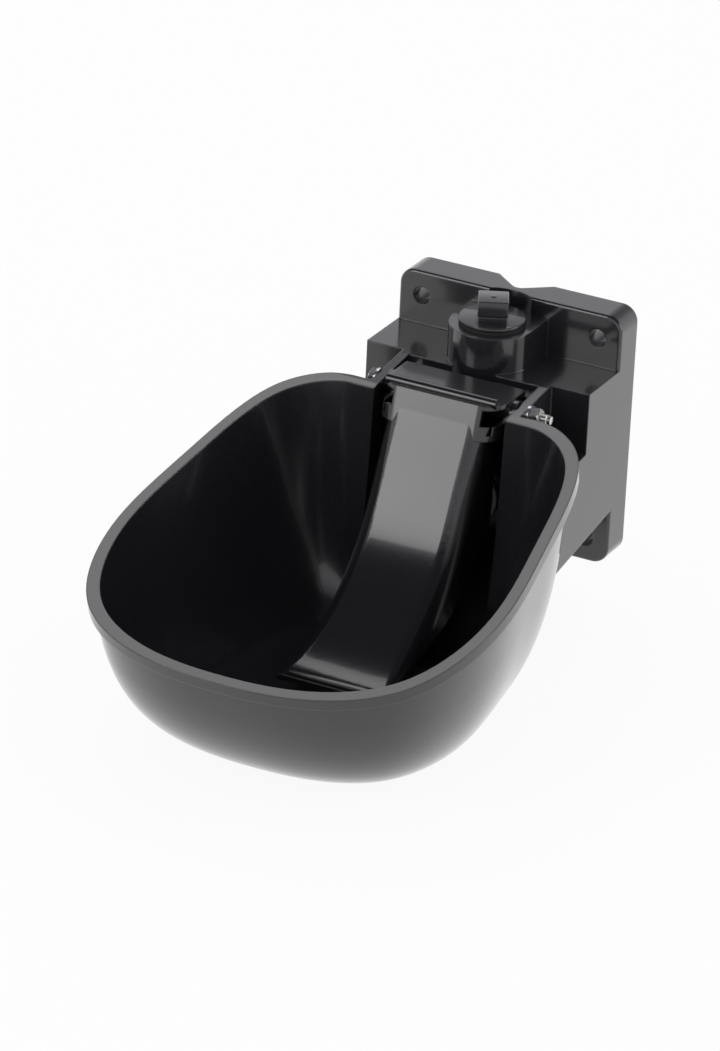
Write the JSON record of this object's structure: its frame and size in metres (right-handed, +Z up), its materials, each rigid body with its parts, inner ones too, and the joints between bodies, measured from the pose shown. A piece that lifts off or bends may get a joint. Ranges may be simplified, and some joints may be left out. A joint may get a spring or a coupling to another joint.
{
  "type": "livestock drinking bowl",
  "caption": "Wall-mounted drinking bowl for cattle and horses: a deep moulded bowl with a push tongue that opens a spring-closed water valve in its bracket.",
  "frame": {"origin": "centre of the four wall bolt holes, on the rear face of the mounting plate", "axes": "+X along the wall to the right as seen by the animal, +Y into the wall, +Z up"},
  "size_m": [0.244, 0.371, 0.1918],
  "materials": {
    "body_plastic": "glossy black moulded plastic",
    "tongue_plastic": "glossy black moulded plastic",
    "plug_plastic": "satin black moulded plastic",
    "zinc_steel": "bright zinc plate",
    "stainless_steel": "turned stainless steel",
    "brass": "machined brass",
    "nylon": "natural nylon",
    "seal_rubber": "black moulded rubber"
  },
  "bodies": {
    "bowl": {"bowl_body": "body_plastic", "hinge_bolt": "zinc_steel", "hinge_washers": "zinc_steel", "hinge_nut": "zinc_steel", "hinge_nut_insert": "nylon", "top_plug": "plug_plastic", "top_plug_seal": "seal_rubber", "upper_thread_insert": "brass", "lower_thread_insert": "brass", "inlet_strainer": "stainless_steel", "valve_body": "brass", "valve_gasket": "seal_rubber", "valve_seat": "nylon", "stem_guide": "nylon", "valve_spring": "stainless_steel", "spring_retainer": "brass"},
    "tongue": {"tongue": "tongue_plastic", "tongue_thrust_screw": "stainless_steel", "thrust_lock_nut": "stainless_steel"},
    "valve_stem": {"valve_stem": "stainless_steel", "valve_disc": "seal_rubber", "disc_holder": "brass"}
  },
  "joints": [
    {"name": "tongue_hinge", "type": "hinge", "parent": "bowl", "child": "tongue", "pos_m": [0, -0.0905, 0.038], "axis": [1, 0, 0], "range_deg": [0, 3.5], "stiffness_Nm_per_rad": 12, "springref_deg": -1.15},
    {"name": "valve_stem_slide", "type": "slide", "parent": "bowl", "child": "valve_stem", "axis": [0, 1, 0], "range_m": [0, 0.0046], "deforming": ["valve_spring"]}
  ],
  "couplings": [
    {"joint": "valve_stem_slide", "follows": "tongue_hinge", "m_per_rad": 0.0725}
  ]
}
